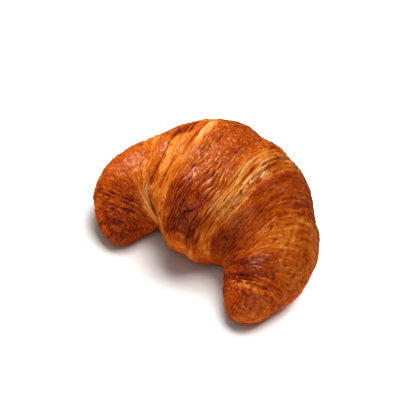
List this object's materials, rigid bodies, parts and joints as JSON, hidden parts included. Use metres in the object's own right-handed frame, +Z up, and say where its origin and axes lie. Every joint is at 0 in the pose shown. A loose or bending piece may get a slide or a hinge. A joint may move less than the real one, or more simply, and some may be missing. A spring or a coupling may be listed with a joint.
{
  "type": "croissant",
  "caption": "Curved laminated pastry roll, thick in the middle, with overlapping wraps, stepped flaky edges and two blunt horns pointing forward.",
  "frame": {"origin": "centre of the bounding box in plan, on the surface the croissant lies on", "axes": "+X from the short horn to the long horn, +Y towards the back of the crescent, away from the horns, +Z up"},
  "size_m": [0.1436, 0.1064, 0.0675],
  "materials": {
    "crust": "egg-washed baked crust, deep reddish brown on the tops of the wraps, orange on their edges and pale tan where cut layers of dough show"
  },
  "bodies": {
    "root": {"croissant": "crust"}
  },
  "joints": []
}
